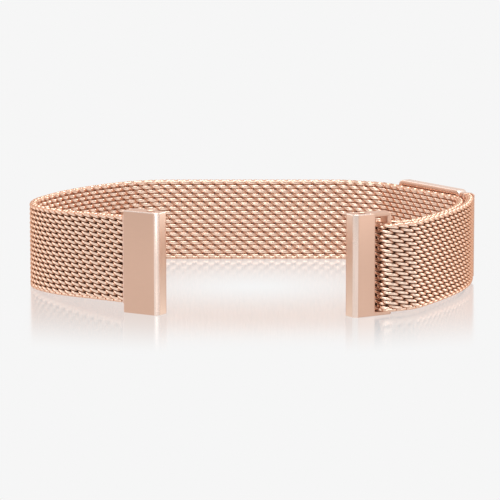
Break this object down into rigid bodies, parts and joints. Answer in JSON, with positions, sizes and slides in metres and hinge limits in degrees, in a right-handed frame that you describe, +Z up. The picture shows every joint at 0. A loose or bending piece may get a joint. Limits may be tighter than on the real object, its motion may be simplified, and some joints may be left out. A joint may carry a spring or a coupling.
{
  "type": "woven wire wrist band",
  "caption": "Loop of woven metal mesh between two metal end bars, one slotted so that the mesh folds back through it to a hinged magnetic clasp.",
  "frame": {"origin": "centre of the band's bounding box, on the surface that its long edge stands on", "axes": "+Z up along the band's width, +X from the plain end bar to the slotted one, +Y away from the gap between the bars"},
  "size_m": [0.0693, 0.0562, 0.0153],
  "materials": {
    "mesh": "woven round steel wire, rose gold plated, bright",
    "end_bar": "satin rose gold plating with bright polished edges",
    "braze_strip": "flattened and brazed mesh end",
    "clasp_case": "satin rose gold plating",
    "clasp_back": "fine satin plate on the side that grips the mesh",
    "magnet": "nickel plated sintered magnet",
    "keeper": "plain soft steel sheet",
    "pin": "polished pin, rose gold plated"
  },
  "bodies": {
    "rear_run": {"mesh_rear": "mesh", "spiral_left_back": "mesh", "spiral_right_rear": "mesh"},
    "left_back_run": {"mesh_left_back": "mesh", "spiral_left_side": "mesh"},
    "left_side_run": {"mesh_left_side": "mesh", "spiral_left_front": "mesh"},
    "left_front_run": {"mesh_left_front": "mesh", "spiral_left_bar": "mesh"},
    "left_bar": {"left_end_bar": "end_bar", "left_end_strip": "braze_strip"},
    "right_corner_run": {"mesh_right_corner": "mesh", "spiral_right_corner": "mesh"},
    "right_arm_run": {"mesh_right_arm": "mesh", "mesh_fold": "mesh", "spiral_tail_fold": "mesh"},
    "right_bar": {"right_end_bar": "end_bar"},
    "tail_near_run": {"mesh_tail_near": "mesh", "spiral_tail_near": "mesh"},
    "tail_mid_run": {"mesh_tail_mid": "mesh", "spiral_tail_mid": "mesh"},
    "tail_far_run": {"mesh_tail_far": "mesh", "tail_end_bar": "end_bar"},
    "clasp": {"clasp_cover": "clasp_case", "clasp_back_plate": "clasp_back", "clasp_magnets": "magnet", "clasp_keeper": "keeper", "clasp_hinge_pin": "pin"}
  },
  "joints": [
    {"name": "left_arm_flex", "type": "hinge", "parent": "rear_run", "child": "left_back_run", "pos_m": [-0.02221, 0.02374, 0.0065], "axis": [0, 0, 1], "range_deg": [-28, 7]},
    {"name": "left_side_flex", "type": "hinge", "parent": "left_back_run", "child": "left_side_run", "pos_m": [-0.03269, 0.00848, 0.0065], "axis": [0, 0, 1], "range_deg": [-28, 7]},
    {"name": "left_front_flex", "type": "hinge", "parent": "left_side_run", "child": "left_front_run", "pos_m": [-0.02932, -0.01057, 0.0065], "axis": [0, 0, 1], "range_deg": [-28, 7]},
    {"name": "left_bar_flex", "type": "hinge", "parent": "left_front_run", "child": "left_bar", "pos_m": [-0.01915, -0.02224, 0.0065], "axis": [0, 0, 1], "range_deg": [-28, 7]},
    {"name": "right_corner_flex", "type": "hinge", "parent": "rear_run", "child": "right_corner_run", "pos_m": [0.01783, 0.02595, 0.0065], "axis": [0, 0, 1], "range_deg": [-8, 32]},
    {"name": "right_arm_flex", "type": "hinge", "parent": "right_corner_run", "child": "right_arm_run", "pos_m": [0.0224, 0.02256, 0.0065], "axis": [0, 0, 1], "range_deg": [-8, 32]},
    {"name": "right_bar_swivel", "type": "hinge", "parent": "right_arm_run", "child": "right_bar", "pos_m": [0.01957, -0.02417, 0.0065], "axis": [0, 0, 1], "range_deg": [-8, 8]},
    {"name": "tail_peel", "type": "hinge", "parent": "right_arm_run", "child": "tail_near_run", "pos_m": [0.02178, -0.02515, 0.0065], "axis": [0, 0, 1], "range_deg": [-45, 0]},
    {"name": "tail_mid_flex", "type": "hinge", "parent": "tail_near_run", "child": "tail_mid_run", "pos_m": [0.02841, -0.01524, 0.0065], "axis": [0, 0, 1], "range_deg": [-36, 0]},
    {"name": "tail_far_flex", "type": "hinge", "parent": "tail_mid_run", "child": "tail_far_run", "pos_m": [0.03339, -0.00011, 0.0065], "axis": [0, 0, 1], "range_deg": [-36, 0]},
    {"name": "clasp_hinge", "type": "hinge", "parent": "tail_far_run", "child": "clasp", "pos_m": [0.03333, 0.00834, 0.0065], "axis": [0, 0, 1], "range_deg": [-80, 0]}
  ],
  "couplings": [
    {"joint": "left_side_flex", "follows": "left_arm_flex", "ratio": 1},
    {"joint": "left_front_flex", "follows": "left_arm_flex", "ratio": 1},
    {"joint": "left_bar_flex", "follows": "left_arm_flex", "ratio": 1},
    {"joint": "right_arm_flex", "follows": "right_corner_flex", "ratio": 1},
    {"joint": "tail_mid_flex", "follows": "tail_peel", "ratio": 0.8},
    {"joint": "tail_far_flex", "follows": "tail_peel", "ratio": 0.8}
  ]
}
